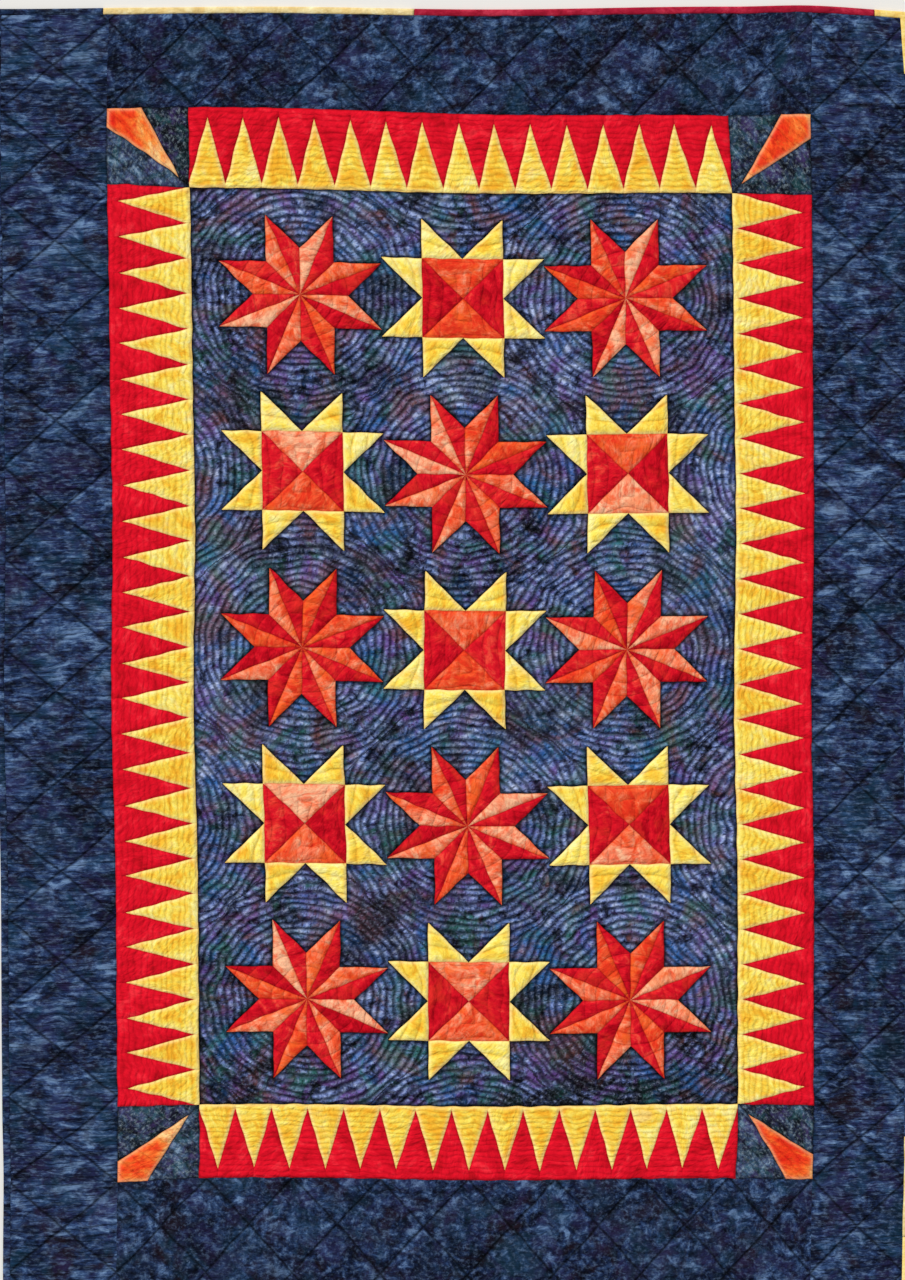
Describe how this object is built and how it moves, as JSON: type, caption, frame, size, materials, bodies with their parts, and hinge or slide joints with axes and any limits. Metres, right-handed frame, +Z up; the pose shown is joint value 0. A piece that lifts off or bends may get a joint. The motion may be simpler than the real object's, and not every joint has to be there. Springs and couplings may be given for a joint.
{
  "type": "quilt",
  "caption": "Pieced patchwork bed quilt laid flat, with a star centre, spiked inner border, crosshatched outer border and bound edges, used as a bed cover.",
  "frame": {"origin": "middle of the quilt's outline, on the surface that it lies on", "axes": "+X across the quilt's width to its right edge, +Y up its length to its top edge, +Z up out of its face"},
  "size_m": [1.3152, 1.8372, 0.0073],
  "materials": {
    "navy_batik": "matt cotton",
    "ground_batik": "matt cotton",
    "golden_cotton": "matt cotton",
    "cream_cotton": "matt cotton",
    "crimson_cotton": "matt cotton",
    "orange_cotton": "matt cotton"
  },
  "bodies": {
    "root": {"field_panel": "ground_batik", "spike_border_bottom": "crimson_cotton", "spike_border_top": "crimson_cotton", "spike_border_left": "crimson_cotton", "spike_border_right": "crimson_cotton", "corner_block_bottom_left": "ground_batik", "corner_block_bottom_right": "ground_batik", "corner_block_top_left": "ground_batik", "corner_block_top_right": "ground_batik", "outer_border_left": "navy_batik", "outer_border_right": "navy_batik", "outer_border_bottom": "navy_batik", "outer_border_top": "navy_batik", "binding_bottom_navy": "navy_batik", "binding_low_corner_gold": "golden_cotton", "binding_right_cream": "cream_cotton", "binding_right_navy": "navy_batik", "binding_top_corner_gold": "golden_cotton", "binding_top_red": "crimson_cotton", "binding_top_cream": "cream_cotton", "binding_top_navy": "navy_batik", "binding_left_navy": "navy_batik"}
  },
  "joints": []
}
